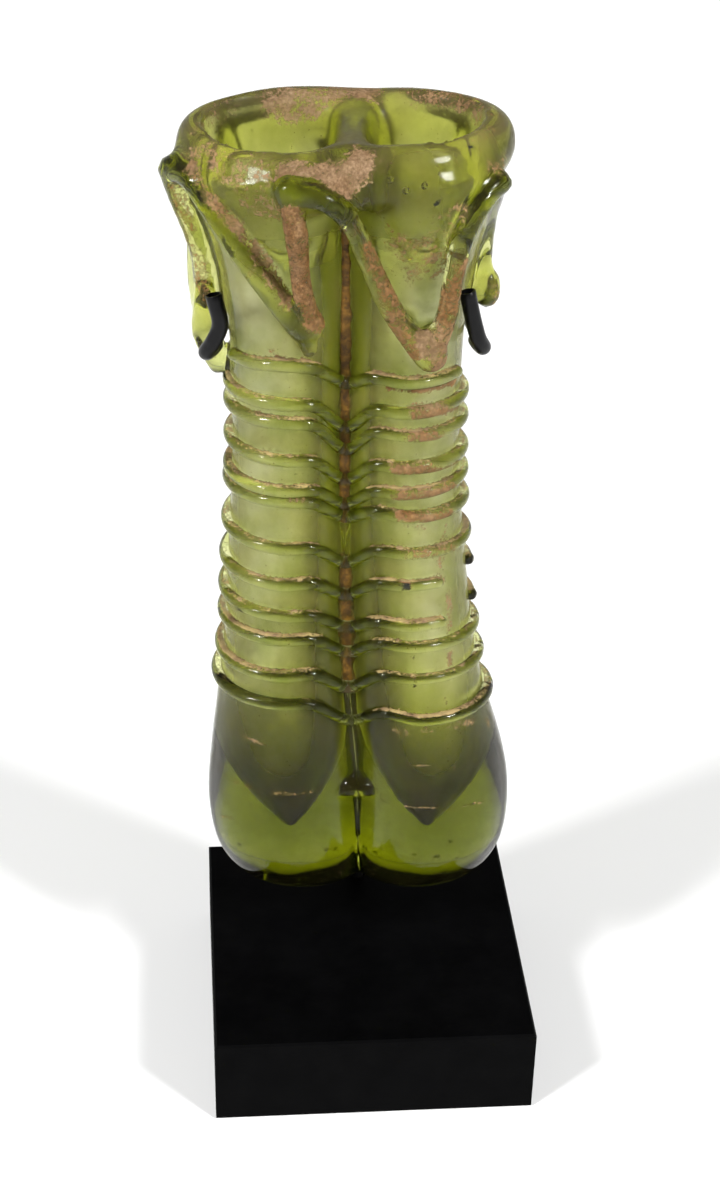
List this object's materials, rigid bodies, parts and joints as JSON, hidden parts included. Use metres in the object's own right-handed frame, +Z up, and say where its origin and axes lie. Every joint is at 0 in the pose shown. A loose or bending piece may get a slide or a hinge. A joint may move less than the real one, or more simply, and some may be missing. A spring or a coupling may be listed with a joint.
{
  "type": "double glass bottle on a stand",
  "caption": "Ancient double glass tube bottle with zig-zag trail, wound thread and one thick rim, hung in the hooks of a low black stand.",
  "frame": {"origin": "middle of the block's underside", "axes": "+Z up, -Y to the front of the bottle, +X to its right as seen from the front"},
  "size_m": [0.0509, 0.046, 0.1425],
  "materials": {
    "glass": "clear yellow-green, seedy, with tan burial crust",
    "black_block": "satin black",
    "black_wire": "satin black paint",
    "black_sleeve": "satin black"
  },
  "bodies": {
    "root": {"glass_bottle": "glass", "stand_block": "black_block", "stand_cradle": "black_wire", "left_hook_sleeve": "black_sleeve", "right_hook_sleeve": "black_sleeve"}
  },
  "joints": []
}
